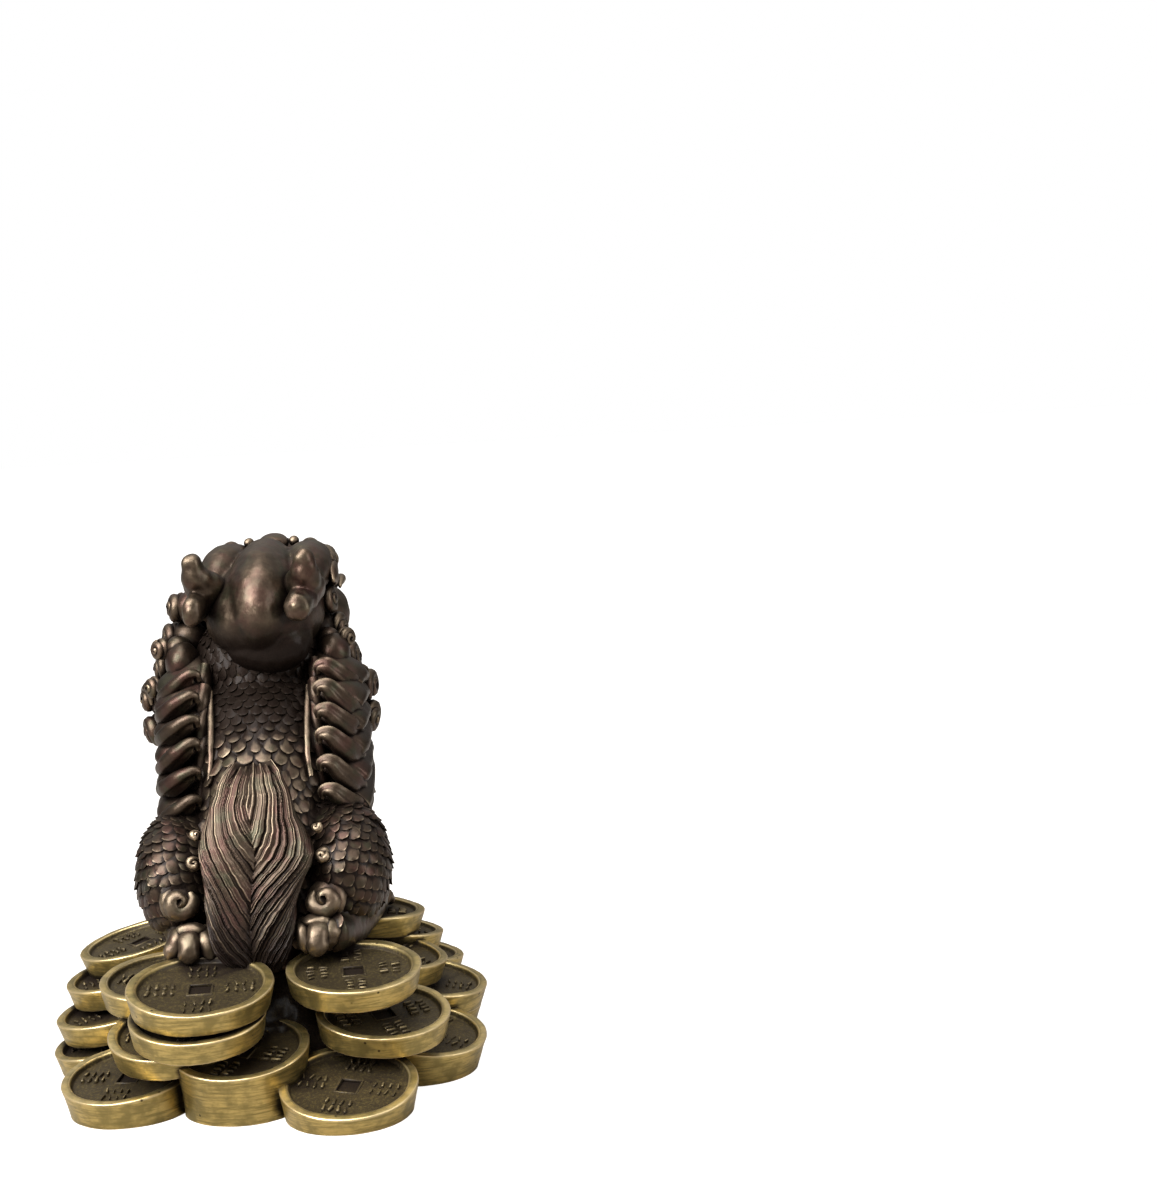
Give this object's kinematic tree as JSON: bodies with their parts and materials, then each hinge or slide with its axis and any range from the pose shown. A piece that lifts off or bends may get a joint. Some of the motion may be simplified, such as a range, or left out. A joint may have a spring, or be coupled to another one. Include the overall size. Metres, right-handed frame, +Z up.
{
  "type": "qilin figure",
  "caption": "Small ornament of a scaled, winged, horned beast seated on a bed of old coins, cast in one piece with a flat underside.",
  "frame": {"origin": "middle of the flat underside of the coin bed, at the bottom of the box round the figure", "axes": "+Z up; +Y behind the beast, along the bed's length, so it faces -Y; +X to the beast's left, across the bed"},
  "size_m": [0.0586, 0.0814, 0.0696],
  "materials": {
    "bronze_finish": "cast resin with a satin dark bronze finish, rubbed to antique gold on the coins' rims and edges"
  },
  "bodies": {
    "root": {"qilin_figure": "bronze_finish"}
  },
  "joints": []
}
